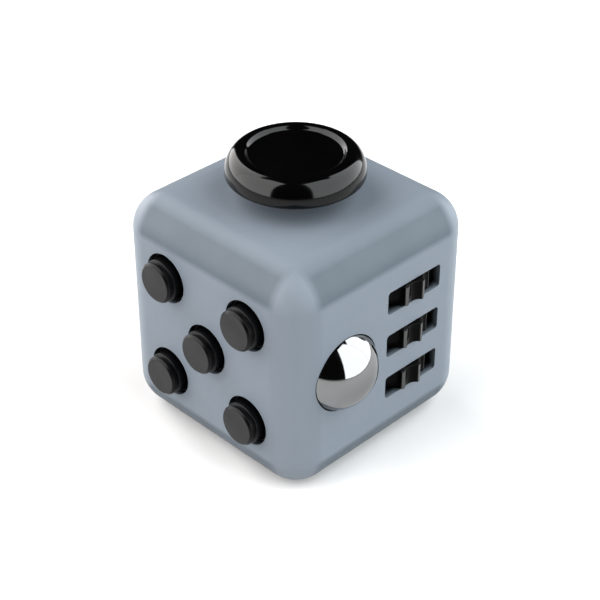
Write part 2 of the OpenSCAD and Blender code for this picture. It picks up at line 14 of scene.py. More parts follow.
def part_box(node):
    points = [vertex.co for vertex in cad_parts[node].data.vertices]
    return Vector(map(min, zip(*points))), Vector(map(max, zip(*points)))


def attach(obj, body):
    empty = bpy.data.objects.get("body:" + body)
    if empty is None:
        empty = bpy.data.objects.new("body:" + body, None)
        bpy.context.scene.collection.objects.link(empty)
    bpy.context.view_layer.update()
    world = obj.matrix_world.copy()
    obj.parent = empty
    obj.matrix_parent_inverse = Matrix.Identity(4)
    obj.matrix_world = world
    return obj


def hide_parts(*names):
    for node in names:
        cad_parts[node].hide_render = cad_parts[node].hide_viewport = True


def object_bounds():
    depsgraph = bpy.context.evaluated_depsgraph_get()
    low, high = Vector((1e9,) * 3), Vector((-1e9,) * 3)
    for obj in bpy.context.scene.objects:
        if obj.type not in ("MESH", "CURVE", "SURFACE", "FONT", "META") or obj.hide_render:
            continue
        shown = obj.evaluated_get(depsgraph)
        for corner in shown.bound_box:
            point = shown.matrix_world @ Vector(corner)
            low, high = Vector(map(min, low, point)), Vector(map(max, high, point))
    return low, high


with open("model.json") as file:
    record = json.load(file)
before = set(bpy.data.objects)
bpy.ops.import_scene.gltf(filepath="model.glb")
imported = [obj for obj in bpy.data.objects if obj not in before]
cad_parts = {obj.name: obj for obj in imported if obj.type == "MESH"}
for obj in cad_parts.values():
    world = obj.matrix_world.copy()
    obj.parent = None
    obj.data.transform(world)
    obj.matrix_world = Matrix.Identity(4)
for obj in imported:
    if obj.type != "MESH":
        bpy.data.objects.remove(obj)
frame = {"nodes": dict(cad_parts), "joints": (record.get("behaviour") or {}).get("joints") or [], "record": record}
CAD_BOX = [list(corner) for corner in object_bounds()]
MM = 0.001
SCENE = bpy.context.scene

# ---------------------------------------------------------------- frames of the six faces

SHELL_LOW, SHELL_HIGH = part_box("shell")
SIDE = (SHELL_HIGH.z - SHELL_LOW.z) / MM
HALF = SIDE / 2
MID = (SHELL_LOW + SHELL_HIGH) / 2
EDGE_R = 5.0
WALL = 2.0

FACES = {
    "click": (Vector((1, 0, 0)), Vector((0, 0, 1)), Vector((0, -1, 0))),
    "roll": (Vector((0, 1, 0)), Vector((0, 0, 1)), Vector((1, 0, 0))),
    "flip": (Vector((-1, 0, 0)), Vector((0, 0, 1)), Vector((0, 1, 0))),
    "spin": (Vector((0, -1, 0)), Vector((0, 0, 1)), Vector((-1, 0, 0))),
    "glide": (Vector((1, 0, 0)), Vector((0, 1, 0)), Vector((0, 0, 1))),
    "base": (Vector((1, 0, 0)), Vector((0, -1, 0)), Vector((0, 0, -1))),
}


def face_frame(face, at=(0, 0, 0)):
    """Matrix from a face's own millimetres, moved to at, into the object's frame."""
    x, y, z = FACES[face]
    origin = MID + z * HALF * MM
    turn = Matrix((x, y, z)).transposed().to_4x4()
    return Matrix.Translation(origin) @ turn @ Matrix.Scale(MM, 4) @ Matrix.Translation(Vector(at))


def in_face(face, point):
    """A point of the object's frame as millimetres in a face's own frame."""
    return face_frame(face).inverted() @ Vector(point)


def node_centre(face, node):
    """Centre of a CAD node's box in a face's own frame."""
    low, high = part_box(node)
    return in_face(face, (low + high) / 2)


def node_span(face, node):
    """Innermost and outermost level of a CAD node, in a face's own frame."""
    levels = [in_face(face, corner).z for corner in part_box(node)]
    return min(levels), max(levels)


def joint_place(name):
    """Where a hinge's axis passes, in the object's frame."""
    return next(j for j in frame["joints"] if j["name"] == name)["pos_m"]


# ---------------------------------------------------------------- mesh tools

def shade(mesh, smooth=True):
    """Shades every face of a mesh smooth or flat."""
    for polygon in mesh.polygons:
        polygon.use_smooth = smooth


def add_object(name, bm, matrix=None, smooth=True):
    """Makes an object from a bmesh drawn in a face's frame."""
    if matrix is not None:
        bmesh.ops.transform(bm, matrix=matrix, verts=bm.verts)
    bmesh.ops.recalc_face_normals(bm, faces=bm.faces)
    mesh = bpy.data.meshes.new(name)
    bm.to_mesh(mesh)
    bm.free()
    obj = bpy.data.objects.new(name, mesh)
    SCENE.collection.objects.link(obj)
    shade(mesh, smooth)
    return obj


def flat_shading_kept(obj):
    """Large flat faces keep their own normals, so only the rounded edges shade as curved."""
    weighted = obj.modifiers.new("weighted_normals", "WEIGHTED_NORMAL")
    weighted.weight = 100
    weighted.keep_sharp = True


def rounded(points, steps=5):
    """Outline with round corners: each point is (x, y, radius), and radius 0 stays sharp."""
    out = []
    count = len(points)
    for i, (x, y, radius) in enumerate(points):
        here = Vector((x, y))
        if radius <= 0 or i in (0, count - 1):
            out.append(here)
            continue
        before = Vector(points[i - 1][:2]) - here
        after = Vector(points[i + 1][:2]) - here
        angle = before.angle(after)
        reach = min(radius / math.tan(angle / 2), before.length * 0.49, after.length * 0.49)
        fillet = reach * math.tan(angle / 2)
        start = here + before.normalized() * reach
        end = here + after.normalized() * reach
        halfway = (before.normalized() + after.normalized()).normalized()
        centre = here + halfway * math.hypot(reach, fillet)
        spoke = start - centre
        turn = -spoke.angle_signed(end - centre)
        for k in range(steps + 1):
            out.append(centre + Matrix.Rotation(turn * k / steps, 2) @ spoke)
    return out


def lathe(name, profile, matrix, segments=96):
    """Solid of revolution about the face's z: profile is a list of (radius, level)."""
    bm = bmesh.new()
    rings = []
    for radius, level in profile:
        if radius < 1e-6:
            rings.append([bm.verts.new((0, 0, level))])
        else:
            rings.append([bm.verts.new((radius * math.cos(a), radius * math.sin(a), level))
                          for a in (2 * math.pi * k / segments for k in range(segments))])
    for low, high in zip(rings, rings[1:]):
        for k in range(segments):
            n = (k + 1) % segments
            quad = [low[k % len(low)], low[n % len(low)], high[n % len(high)], high[k % len(high)]]
            corners = list(dict.fromkeys(quad))
            if len(corners) >= 3:
                bm.faces.new(corners)
    return add_object(name, bm, matrix)


def half_circle(radius, steps):
    """Profile of a ball for lathe, from its lowest point to its highest."""
    angles = (math.pi * k / steps for k in range(steps + 1))
    return [(radius * math.sin(a), -radius * math.cos(a)) for a in angles]


def prism(outline, low, high):
    """bmesh of an outline pushed from low to high."""
    bm = bmesh.new()
    base = [bm.verts.new((x, y, low)) for x, y in outline]
    cap = bm.faces.new(base)
    pushed = bmesh.ops.extrude_face_region(bm, geom=[cap])
    moved = [v for v in pushed["geom"] if isinstance(v, bmesh.types.BMVert)]
    bmesh.ops.translate(bm, vec=(0, 0, high - low), verts=moved)
    bmesh.ops.recalc_face_normals(bm, faces=bm.faces)
    return bm


def soften(bm, width, steps=3, least_angle=32, where=None):
    """Rounds the edges of a bmesh that are sharper than least_angle and that where() accepts."""
    limit = math.radians(least_angle)
    edges = [e for e in bm.edges
             if e.is_manifold and e.calc_face_angle(0) > limit and (where is None or where(e))]
    bmesh.ops.bevel(bm, geom=edges, offset=width, offset_type="OFFSET", segments=steps, profile=0.5,
                    affect="EDGES", clamp_overlap=True)


def circle_points(radius, count, centre=(0, 0)):
    """Closed circle outline."""
    angles = (2 * math.pi * k / count for k in range(count))
    return [Vector((centre[0] + radius * math.cos(a), centre[1] + radius * math.sin(a))) for a in angles]


def rect_points(width, height, radius, centre=(0, 0), steps=8):
    """Closed rectangle outline with round corners."""
    out = []
    for k, (sx, sy) in enumerate(((1, 1), (-1, 1), (-1, -1), (1, -1))):
        cx = centre[0] + sx * (width / 2 - radius)
        cy = centre[1] + sy * (height / 2 - radius)
        for i in range(steps + 1):
            a = math.radians(90 * k + 90 * i / steps)
            out.append(Vector((cx + radius * math.cos(a), cy + radius * math.sin(a))))
    return out


def cut(obj, cutters):
    """Subtracts each cutter from obj and removes the cutters."""
    for cutter in cutters:
        modifier = obj.modifiers.new("cut", "BOOLEAN")
        modifier.operation = "DIFFERENCE"
        modifier.solver = "EXACT"
        modifier.object = cutter
    graph = bpy.context.evaluated_depsgraph_get()
    result = bpy.data.meshes.new_from_object(obj.evaluated_get(graph))
    obj.modifiers.clear()
    old = obj.data
    obj.data = result
    bpy.data.meshes.remove(old)
    for cutter in cutters:
        bpy.data.objects.remove(cutter)


def edit(obj, change):
    """Runs change on the object's mesh as a bmesh."""
    bm = bmesh.new()
    bm.from_mesh(obj.data)
    change(bm)
    bm.to_mesh(obj.data)
    bm.free()
    shade(obj.data)


# ---------------------------------------------------------------- materials

class Nodes:
    """Short way to build one material's node tree around its shader."""

    def __init__(self, name):
        self.material = bpy.data.materials.new(name)
        self.material.use_nodes = True
        self.tree = self.material.node_tree
        self.shader = self.tree.nodes["Principled BSDF"]
        self.place = self.add("ShaderNodeTexCoord").outputs["Object"]

    def add(self, kind, **values):
        """Adds a node and sets its properties."""
        node = self.tree.nodes.new(kind)
        for key, value in values.items():
            setattr(node, key, value)
        return node

    def link(self, source, target):
        """Joins an output socket to an input socket."""
        self.tree.links.new(source, target)

    def noise(self, scale, detail=3.0, roughness=0.55, stretch=None):
        """Noise with scale in features per metre."""
        node = self.add("ShaderNodeTexNoise")
        node.inputs["Scale"].default_value = scale
        node.inputs["Detail"].default_value = detail
        node.inputs["Roughness"].default_value = roughness
        source = self.place
        if stretch:
            mapping = self.add("ShaderNodeMapping")
            mapping.inputs["Scale"].default_value = stretch
            self.link(source, mapping.inputs["Vector"])
            source = mapping.outputs["Vector"]
        self.link(source, node.inputs["Vector"])
        return node.outputs["Fac"]

    def spread(self, source, low, high, from_low=0.3, from_high=0.7):
        """Maps a value to a range."""
        node = self.add("ShaderNodeMapRange")
        node.inputs["From Min"].default_value = from_low
        node.inputs["From Max"].default_value = from_high
        node.inputs["To Min"].default_value = low
        node.inputs["To Max"].default_value = high
        self.link(source, node.inputs["Value"])
        return node.outputs["Result"]

    def blend(self, factor, first, second):
        """Mixes two colours, either of which may be a socket."""
        node = self.add("ShaderNodeMix", data_type="RGBA")
        for socket, value in (("A_Color", first), ("B_Color", second)):
            target = next(s for s in node.inputs if s.identifier == socket)
            if isinstance(value, bpy.types.NodeSocket):
                self.link(value, target)
            else:
                target.default_value = (*value, 1)
        self.link(factor, next(s for s in node.inputs if s.identifier == "Factor_Float"))
        return next(s for s in node.outputs if s.identifier == "Result_Color")

    def edges(self, low=0.52, high=0.62):
        """0 on flat surfaces and 1 on convex edges."""
        pointy = self.add("ShaderNodeNewGeometry").outputs["Pointiness"]
        return self.spread(pointy, 0.0, 1.0, low, high)

    def math(self, operation, *values):
        """One arithmetic step on sockets or numbers."""
        node = self.add("ShaderNodeMath", operation=operation)
        for socket, value in zip(node.inputs, values):
            if isinstance(value, bpy.types.NodeSocket):
                self.link(value, socket)
            else:
                socket.default_value = value
        return node.outputs[0]

    def normal_parts(self):
        """The surface normal's x, y and z."""
        split = self.add("ShaderNodeSeparateXYZ")
        self.link(self.add("ShaderNodeNewGeometry").outputs["Normal"], split.inputs[0])
        return [split.outputs[axis] for axis in "XYZ"]

    def bump(self, height, distance, strength=1.0, under=None):
        """Bump with its real height in metres."""
        node = self.add("ShaderNodeBump")
        node.inputs["Distance"].default_value = distance
        node.inputs["Strength"].default_value = strength
        self.link(height, node.inputs["Height"])
        if under is not None:
            self.link(under, node.inputs["Normal"])
        return node.outputs["Normal"]

    def set(self, **values):
        """Sets shader inputs: a socket is linked and a number or colour is set."""
        for key, value in values.items():
            target = self.shader.inputs[key.replace("_", " ")]
            if isinstance(value, bpy.types.NodeSocket):
                self.link(value, target)
            elif isinstance(value, tuple):
                target.default_value = (*value, 1)
            else:
                target.default_value = value
        return self.material


def moulded_plastic(name, colour, roughness, grain_depth=0.000004, wear_and_highlight=0.12, specular=0.5):
    """Moulded plastic: fine spark texture, slow tone changes and paler edges, which are polish from handling and,
    on the gears, a strong painted highlight.
    """
    n = Nodes(name)
    dark = tuple(c * 0.94 for c in colour)
    pale = tuple(c * 1.06 + 0.0006 for c in colour)
    cloud = n.blend(n.spread(n.noise(140, 4), 0, 1), dark, pale)
    # paler edges: polish from handling, and a painted highlight where the paling is as strong as on the gears
    worn_and_highlit = tuple(c * (1 + wear_and_highlight) + wear_and_highlight * 0.03 for c in colour)
    edge = n.spread(n.edges(), 0.0, 0.8, 0.0, 1.0)
    base = n.blend(edge, cloud, worn_and_highlit)
    rough = n.spread(n.noise(900, 5), roughness - 0.04, roughness + 0.05)
    fine = n.bump(n.noise(9000, 2, 0.6), grain_depth)
    wavy = n.bump(n.noise(180, 2), 0.00002, 0.25, fine)
    return n.set(Base_Color=base, Roughness=rough, Normal=wavy, IOR=1.48, Specular_IOR_Level=specular)


def shell_plastic():
    """Satin grey-blue shell, with painted shade on the rounded edges of its top and base and painted light on its
    upright edges and corners.
    """
    n = Nodes("shell_plastic")
    face = (0.106, 0.125, 0.148)
    # painted shade for the rounded edges of the top and base
    edge = (0.049, 0.063, 0.077)
    # painted light for the upright edges and corners
    corner = (0.120, 0.140, 0.163)
    x, y, z = (n.math("ABSOLUTE", part) for part in n.normal_parts())
    start = n.spread(z, 0.0, 1.0, 0.03, 0.20)
    end = n.spread(z, 1.0, 0.0, 0.80, 0.995)
    sideways = n.math("MINIMUM", x, y)
    along_edge = n.spread(sideways, 1.0, 0.0, 0.02, 0.26)
    # mask of the painted shade along the top and base edges, then painted light on the upright edges and corners
    painted_shade_band = n.math("MULTIPLY", n.math("MULTIPLY", start, end), along_edge)
    upright = n.blend(n.spread(sideways, 0.0, 1.0, 0.15, 0.55), face, corner)
    base = n.blend(painted_shade_band, upright, edge)
    cloud = n.blend(n.spread(n.noise(120, 4), 0.0, 0.10), base, (0.135, 0.155, 0.175))
    speck = n.blend(n.spread(n.noise(5200, 2), 0.0, 0.06, 0.6, 0.75), cloud, (0.05, 0.06, 0.075))
    rough = n.spread(n.noise(700, 5), 0.40, 0.50)
    grain = n.bump(n.noise(7000, 3, 0.6), 0.000006)
    wavy = n.bump(n.noise(90, 2), 0.00003, 0.3, grain)
    return n.set(Base_Color=speck, Roughness=rough, Normal=wavy, IOR=1.46, Specular_IOR_Level=0.22)


def polished_ball():
    """Polished steel ball with hairline handling marks."""
    n = Nodes("chrome")
    marks = n.noise(2600, 2, 0.5, stretch=(1.0, 1.0, 14.0))
    smudge = n.noise(160, 3)
    tone = n.blend(n.spread(smudge, 0, 1), (0.176, 0.178, 0.180), (0.192, 0.194, 0.196))
    rough = n.spread(smudge, 0.05, 0.09)
    return n.set(Base_Color=tone, Metallic=1.0, Roughness=rough, Normal=n.bump(marks, 0.0000003))


def metal(name, colour, roughness):
    """Plain steel with fine drawn lines and small dull spots."""
    n = Nodes(name)
    lines = n.noise(2500, 3, 0.6, stretch=(1, 1, 12))
    spots = n.noise(500, 4)
    tone = n.blend(n.spread(spots, 0, 1), tuple(c * 0.86 for c in colour), colour)
    rough = n.spread(spots, roughness - 0.06, roughness + 0.1)
    return n.set(Base_Color=tone, Metallic=1.0, Roughness=rough, Normal=n.bump(lines, 0.000002))


def button_plastic():
    """Black buttons with charcoal fronts and near-black sides, set by surface direction: the fronts are partly
    dulled by handling and partly painted light, and the sides are painted shade.
    """
    n = Nodes("button_plastic")
    outwards = n.math("MULTIPLY", n.normal_parts()[1], -1)
    # the outward fronts get painted light, partly also dulling from handling
    lit_and_rubbed_front = n.spread(outwards, 0.0, 1.0, 0.9, 0.98)
    charcoal = n.blend(n.spread(n.noise(260, 5), 0, 1), (0.014, 0.014, 0.0145), (0.021, 0.021, 0.0215))
    # near-black sides: painted shade for the sides sunk in their holes
    black = n.blend(n.spread(n.edges(), 0, 0.5), (0.0008, 0.0008, 0.001), (0.002, 0.002, 0.0022))
    rough = n.spread(lit_and_rubbed_front, 0.30, 0.55, 0.0, 1.0)
    grain = n.bump(n.noise(9000, 3, 0.6), 0.000005)
    return n.set(Base_Color=n.blend(lit_and_rubbed_front, black, charcoal), Roughness=rough, Normal=grain, IOR=1.48,
                 Specular_IOR_Level=0.11)


def gloss_black():
    """Polished black plastic with faint hairlines and dulled fingerprints."""
    n = Nodes("gloss_black")
    smudge = n.noise(130, 4)
    tone = n.blend(n.spread(smudge, 0, 1), (0.0003, 0.0003, 0.0004), (0.0007, 0.0007, 0.0008))
    rough = n.spread(n.noise(260, 5), 0.06, 0.12)
    hair = n.bump(n.noise(1800, 2, 0.5, stretch=(1, 9, 1)), 0.0000006)
    return n.set(Base_Color=tone, Roughness=rough, Normal=hair, IOR=1.5, Specular_IOR_Level=0.2)


def silicone():
    """Translucent silicone with a soft dusty surface."""
    n = Nodes("silicone")
    tone = n.blend(n.spread(n.noise(300, 4), 0, 1), (0.62, 0.62, 0.6), (0.7, 0.7, 0.68))
    rough = n.spread(n.noise(1500, 3), 0.5, 0.62)
    return n.set(Base_Color=tone, Roughness=rough, Normal=n.bump(n.noise(4000, 2), 0.000004),
                 Subsurface_Weight=0.15, Subsurface_Scale=0.0008)


MATERIALS = {
    "shell_plastic": shell_plastic(),
    "button_plastic": button_plastic(),
    "guide_plastic": moulded_plastic("guide_plastic", (0.001, 0.001, 0.0012), 0.55, specular=0.05),
    "silicone": silicone(),
    "inner_plastic": moulded_plastic("inner_plastic", (0.02, 0.02, 0.021), 0.42),
    "spring_steel": metal("spring_steel", (0.62, 0.61, 0.59), 0.3),
    "zinc_steel": metal("zinc_steel", (0.66, 0.65, 0.62), 0.36),
    "chrome": polished_ball(),
    # the gears' strong edge paling is a painted highlight along their tooth edges
    "gear_plastic": moulded_plastic("gear_plastic", (0.0010, 0.0009, 0.0009), 0.22,
                                    grain_depth=0.000002, wear_and_highlight=2.5, specular=0.03),
    "gloss_black": gloss_black(),
    "rocker_plastic": moulded_plastic("rocker_plastic", (0.012, 0.012, 0.013), 0.3, wear_and_highlight=0.5),
    "dial_plastic": moulded_plastic("dial_plastic", (0.012, 0.012, 0.013), 0.32, wear_and_highlight=0.5),
}


def finish_piece(obj, slot, body, *nodes):
    """Gives a made piece its material and its body, and hides the CAD nodes that it stands for."""
    obj.data.materials.clear()
    obj.data.materials.append(MATERIALS[slot])
    flat_shading_kept(obj)
    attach(obj, body)
    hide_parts(*nodes)
    return obj


# ---------------------------------------------------------------- shell

BUTTONS = ("button_top_left", "button_top_right", "button_centre",
           "button_bottom_left", "button_bottom_right")
GEARS = ("gear_top", "gear_middle", "gear_bottom")

# rectangular openings are width, height and corner radius
WINDOW = (9.9, 3.4, 0.5)
ROCKER_OPENING = (8.0, 15.9, 0.5)
BASE_OPENING = (22.0, 22.0, 2.0)
BUTTON_HOLE_R = 3.5
GLIDE_HOLE_R = 4.0
DIAL_RECESS_R = 9.8
DIAL_RECESS_DEPTH = 0.8
DIAL_SHAFT_HOLE_R = 2.05
BALL_SEAT_GAP = 0.12
CAVITY_STEP = 1.3
HOLE_FILLET = 0.22
# how far a cutter reaches past the surface that it cuts
REACH = 1.0


def cutter(name, outline, low, high, face):
    """Prism in a face's frame, for cut() to subtract."""
    return add_object(name, prism(outline, low, high), face_frame(face))


def ball_radius():
    low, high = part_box("steel_ball")
    return (high.z - low.z) / 2 / MM


def shell_cutters():
    """Every hole, window and recess of the shell, and its hollow."""
    deep = -WALL - REACH
    out = []
    for node in BUTTONS:
        outline = circle_points(BUTTON_HOLE_R, 96, node_centre("click", node))
        out.append(cutter("cut_" + node, outline, deep, REACH, "click"))
    for node in GEARS:
        outline = rect_points(*WINDOW, node_centre("roll", node))
        out.append(cutter("cut_" + node, outline, deep, REACH, "roll"))
    seat = half_circle(ball_radius() + BALL_SEAT_GAP, 64)
    out.append(lathe("cut_ball", seat, face_frame("roll", node_centre("roll", "steel_ball")), 128))
    out.append(cutter("cut_glide", circle_points(GLIDE_HOLE_R, 96), deep, REACH, "glide"))
    out.append(cutter("cut_rocker", rect_points(*ROCKER_OPENING), deep, REACH, "flip"))
    out.append(cutter("cut_dial", circle_points(DIAL_RECESS_R, 160), -DIAL_RECESS_DEPTH, REACH, "spin"))
    out.append(cutter("cut_shaft", circle_points(DIAL_SHAFT_HOLE_R, 48), deep, -0.5, "spin"))
    out.append(cutter("cut_base", rect_points(*BASE_OPENING), deep, REACH, "base"))
    wide = SIDE - 2 * WALL
    narrow = wide - 2 * CAVITY_STEP
    for name, width, low in (("cut_hollow", wide, WALL + CAVITY_STEP), ("cut_hollow_ends", narrow, WALL)):
        outline = rect_points(width, width, EDGE_R - WALL)
        out.append(cutter(name, outline, low - SIDE, -low, "glide"))
    return out


def on_outer_surface(vertex):
    """True for a vertex on the shell's outer rounded cube."""
    flat = HALF - EDGE_R
    p = (vertex.co - MID) / MM
    nearest = Vector([max(-flat, min(flat, c)) for c in p])
    return abs((p - nearest).length - EDGE_R) < 0.02


def make_shell():
    """Rounded cube with its holes cut and the rim of each hole softened."""
    bm = bmesh.new()
    bmesh.ops.create_cube(bm, size=SIDE)
    bmesh.ops.bevel(bm, geom=bm.edges[:], offset=EDGE_R, offset_type="OFFSET", segments=18, profile=0.5,
                    affect="EDGES")
    # the bevel's corners are only nearly round, so each vertex goes to its true place
    flat = HALF - EDGE_R
    for v in bm.verts:
        nearest = Vector([max(-flat, min(flat, c)) for c in v.co])
        v.co = nearest + (v.co - nearest).normalized() * EDGE_R
    bmesh.ops.scale(bm, vec=(MM, MM, MM), verts=bm.verts)
    bmesh.ops.translate(bm, vec=MID, verts=bm.verts)
    obj = add_object("shell_moulding", bm)
    cut(obj, shell_cutters())
    edit(obj, lambda bm: soften(bm, HOLE_FILLET * MM, 3, 28,
                                lambda e: all(on_outer_surface(v) for v in e.verts)))
    return finish_piece(obj, "shell_plastic", "cube", "shell")


# ---------------------------------------------------------------- base cover

DIMPLE_R = 8.5
DIMPLE_DEPTH = 1.6
DIMPLE_RIM = 0.7
BOSS_WALL = 0.9
BOSS_PROUD = 1.4
COVER_GAP = 0.1


def make_base_cover():
    """Snap-in cover: a flat square plate with a smooth spherical dimple, and the boss behind it."""
    width, height, corner = BASE_OPENING
    outline = rect_points(width - 2 * COVER_GAP, height - 2 * COVER_GAP, corner - COVER_GAP)
    bm = prism(outline, -WALL, 0)
    soften(bm, 0.15, 2, 40, lambda e: all(v.co.z > -0.01 for v in e.verts))
    obj = add_object("base_cover_moulding", bm, face_frame("base"))
    sphere_r = (DIMPLE_R ** 2 + DIMPLE_DEPTH ** 2) / (2 * DIMPLE_DEPTH)
    widest = math.asin(DIMPLE_R / sphere_r)
    bowl = [(sphere_r * math.sin(a), sphere_r - DIMPLE_DEPTH - sphere_r * math.cos(a))
            for a in (widest * k / 24 for k in range(25))]
    rim_r = DIMPLE_R + DIMPLE_RIM
    rim = [(DIMPLE_R + DIMPLE_RIM / 2, 0.08), (rim_r, 0.3), (rim_r, REACH), (0, REACH)]
    cut(obj, [lathe("cut_dimple", bowl + rim, face_frame("base"), 128)])
    boss_r = DIMPLE_R + BOSS_WALL
    boss_back = -WALL - BOSS_PROUD
    boss_front = -WALL + 0.05
    profile = rounded([
        (0, boss_back, 0), (boss_r, boss_back, 0.3), (boss_r, boss_front, 0), (0, boss_front, 0)])
    boss = lathe("base_cover_boss", profile, face_frame("base"))
    finish_piece(boss, "shell_plastic", "cube", "base_cover")
    return finish_piece(obj, "shell_plastic", "cube", "base_cover")


# ---------------------------------------------------------------- click face

GUIDE_T = 1.0
FLANGE_PROUD = 0.5
FLANGE_TRIM = 0.1
FRONT_CHAMFER = 0.3
TIER_INSET = 0.12
GROOVE_INSET = 0.32


def make_button(node):
    """Two-tier button: bevelled front, groove, second tier and hidden flange."""
    centre = node_centre("click", node)
    back, front = node_span("click", node)
    low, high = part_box(node)
    widest = (high.x - low.x) / 2 / MM
    cap_r = widest - FLANGE_PROUD
    tier_r = cap_r - TIER_INSET
    groove_r = cap_r - GROOVE_INSET
    # the flange is trimmed so that it clears the joystick's housing when pressed
    flange_r = widest - FLANGE_TRIM
    seat = -WALL - GUIDE_T - 0.02
    profile = rounded([
        (0, front, 0), (tier_r - FRONT_CHAMFER, front, 0.12), (tier_r, front - FRONT_CHAMFER, 0.1),
        (tier_r, front - 0.62, 0.05), (groove_r, front - 0.72, 0.06), (groove_r, front - 0.92, 0.06),
        (cap_r, front - 1.06, 0.14), (cap_r, seat, 0.05), (flange_r, seat, 0.05),
        (flange_r, back, 0.05), (0, back, 0)], 5)
    obj = lathe(node + "_cap", profile, face_frame("click", (centre.x, centre.y, 0)), 80)
    return finish_piece(obj, "button_plastic", node, node)


COLLAR_R = 3.4
COLLAR_BORE_R = 3.05
COLLAR_FRONT = -0.7
GUIDE_CORNER = 3.0
SCREW_CLEARANCE_R = 1.7
CLICK_SCREWS = ((0.25, 6.8), (0.25, -6.6), (-9.2, 0.1))


def make_button_guide():
    """Guide plate behind the click face, with a collar in each button hole."""
    low, high = (in_face("click", corner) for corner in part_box("button_guide"))
    width, height = abs(high.x - low.x), abs(high.y - low.y)
    middle = ((low.x + high.x) / 2, (low.y + high.y) / 2)
    back = -WALL - GUIDE_T
    outline = rect_points(width, height, GUIDE_CORNER, middle)
    plate = add_object("guide_plate", prism(outline, back, -WALL), face_frame("click"))
    places = [node_centre("click", node) for node in BUTTONS]
    holes = [circle_points(COLLAR_BORE_R, 64, at) for at in places]
    holes += [circle_points(SCREW_CLEARANCE_R, 64, at) for at in CLICK_SCREWS]
    cut(plate, [cutter("cut_guide", hole, back - GUIDE_T, 0, "click") for hole in holes])
    finish_piece(plate, "guide_plastic", "cube", "button_guide")
    tube = rounded([
        (COLLAR_BORE_R, back, 0), (COLLAR_BORE_R, COLLAR_FRONT, 0.12), (COLLAR_R, COLLAR_FRONT, 0.12),
        (COLLAR_R, -WALL - 0.2, 0), (COLLAR_BORE_R, back, 0)], 4)
    for node, at in zip(BUTTONS, places):
        collar = lathe(node + "_collar", tube, face_frame("click", (at.x, at.y, 0)), 80)
        finish_piece(collar, "guide_plastic", "cube", "button_guide")


# ---------------------------------------------------------------- roll face

def make_ball():
    """Steel ball, turned as one smooth sphere."""
    place = face_frame("roll", node_centre("roll", "steel_ball"))
    obj = lathe("polished_ball", half_circle(ball_radius(), 72), place, 144)
    return finish_piece(obj, "chrome", "ball", "steel_ball")


GEAR_R = 4.5
TEETH = 10
FLUTE_R = 1.5
FLUTE_AT = GEAR_R + 0.8
GEAR_PHASE = 10.75
AXLE_BORE_R = 0.95


def unit(angle):
    """Unit vector at an angle in radians."""
    return Vector((math.cos(angle), math.sin(angle)))


def gear_outline():
    """Narrow teeth between wide shallow flutes."""
    half_flute = math.acos((GEAR_R ** 2 + FLUTE_AT ** 2 - FLUTE_R ** 2) / (2 * GEAR_R * FLUTE_AT))
    swing = math.atan2(GEAR_R * math.sin(half_flute), FLUTE_AT - GEAR_R * math.cos(half_flute))
    half_pitch = math.pi / TEETH
    half_tip = half_pitch - half_flute
    out = []
    for i in range(TEETH):
        tooth = math.radians(GEAR_PHASE) + 2 * half_pitch * i
        out += [GEAR_R * unit(tooth + half_tip * k / 2) for k in range(-2, 3)]
        flute = tooth + half_pitch
        out += [FLUTE_AT * unit(flute) + FLUTE_R * unit(flute + math.pi + swing * (1 - k / 8))
                for k in range(1, 16)]
    return out


def make_gear(node):
    """Toothed wheel with softened edges and a bore for its axle."""
    low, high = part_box(node)
    thick = (high.z - low.z) / MM
    axis = joint_place(node + "_spin")
    bm = prism(gear_outline(), -thick / 2, thick / 2)
    soften(bm, 0.16, 4, 26)
    middle = Vector((axis[0], axis[1], (low.z + high.z) / 2))
    place = Matrix.Translation(middle) @ Matrix.Scale(MM, 4)
    obj = add_object(node + "_wheel", bm, place)
    cut(obj, [add_object("cut_bore", prism(circle_points(AXLE_BORE_R, 32), -thick, thick), place)])
    shade(obj.data)
    return finish_piece(obj, "gear_plastic", node, node)


# ---------------------------------------------------------------- glide face

# half the rim's width, and how high above its lowest point it is widest
CAP_SECTION = 2.15
CAP_WIDEST = 0.8
# 2 makes the rim's section an ellipse, and more makes it squarer
CAP_POWER = 2.1
DISH_RIM_R = 6.65
DISH_FLOOR_R = 6.0
DISH_DEPTH = 0.5


def make_joystick_cap():
    """Glossy cap: a thick round rim, widest low down, round a shallow dish."""
    low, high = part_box("joystick_cap")
    radius = (high.x - low.x) / 2 / MM
    bottom, top = node_span("glide", "joystick_cap")
    bottom += 0.1
    widest = bottom + CAP_WIDEST
    crown = radius - CAP_SECTION

    def bend(value):
        """Signed power that turns a circle into the rim's section."""
        return math.copysign(abs(value) ** (2 / CAP_POWER), value)

    def rim_point(angle):
        """Point of the rim's outside: -90 degrees is its lowest and 90 its highest."""
        tall = top - widest if angle > 0 else CAP_WIDEST
        return crown + CAP_SECTION * bend(math.cos(angle)), widest + tall * bend(math.sin(angle))

    rim = [rim_point(math.radians(-90 + 180 * k / 64)) for k in range(65)]
    dish = [(DISH_RIM_R + (DISH_FLOOR_R - DISH_RIM_R) * t, top - DISH_DEPTH * (1 - math.cos(math.pi * t)) / 2)
            for t in (k / 14 for k in range(15))]
    floor = [(DISH_FLOOR_R * (1 - k / 6), top - DISH_DEPTH - 0.08 * k / 6) for k in range(1, 7)]
    under = [(0, bottom - 0.1), (3.3, bottom - 0.1), (3.6, bottom - 0.07), (4.0, bottom)]
    obj = lathe("joystick_dish", under + rim + dish + floor, face_frame("glide"), 144)
    return finish_piece(obj, "gloss_black", "joystick", "joystick_cap")


# ---------------------------------------------------------------- flip face

ROCKER_TILT = 10.0
PIVOT_DEPTH = 3.9
ROCKER_HALF = 6.9
ROCKER_W = 7.4
ROCKER_END = 3.2
# half of the hub's outline, below the end of the paddle
ROCKER_HUB = ((3.4, 0.9), (1.9, -0.3), (1.2, -1.4), (0.6, -2.2), (0, -2.4))


